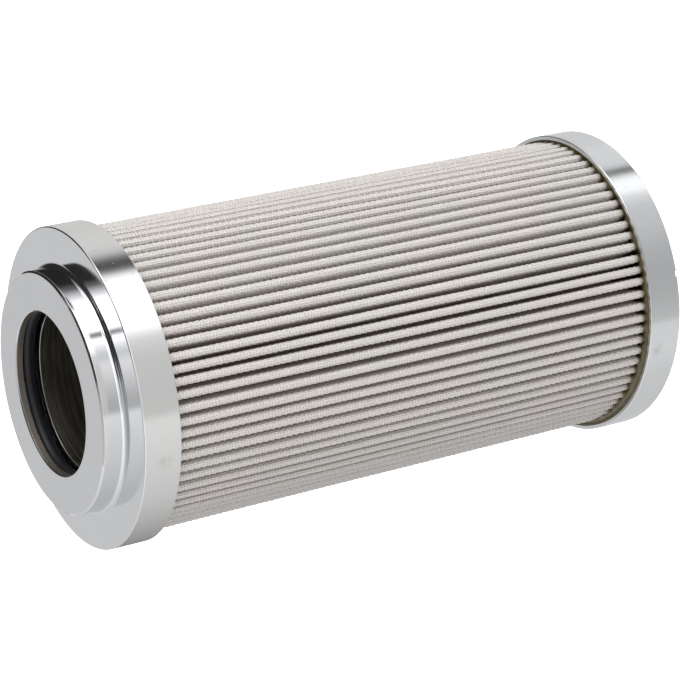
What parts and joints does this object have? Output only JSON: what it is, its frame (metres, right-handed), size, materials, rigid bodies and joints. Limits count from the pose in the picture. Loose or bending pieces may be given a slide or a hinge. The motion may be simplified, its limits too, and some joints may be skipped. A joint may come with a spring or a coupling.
{
  "type": "pleated filter element",
  "caption": "Pleated hydraulic filter element: folded wire-cloth pack on a perforated core tube between a closed steel cap and an open steel cap with an o-ring in its bore.",
  "frame": {"origin": "middle of the closed cap's outer face, which the element stands on", "axes": "+Z along the element's axis to the nose of the open cap; the knock in the closed cap's rim is near -Y"},
  "size_m": [0.08, 0.08, 0.1595],
  "materials": {
    "bright_steel": "turned and plated, satin to bright",
    "rubber": "lightly oiled, semi-gloss",
    "tube_steel": "perforated sheet, dull zinc",
    "wire_cloth": "fine plain weave, matt grey with a warm tint",
    "epoxy": "olive-brown casting resin, smooth meniscus"
  },
  "bodies": {
    "root": {"front_end_cap": "bright_steel", "bore_o_ring": "rubber", "rear_end_cap": "bright_steel", "core_tube": "tube_steel", "pleat_pack": "wire_cloth", "front_potting": "epoxy", "rear_potting": "epoxy"}
  },
  "joints": []
}
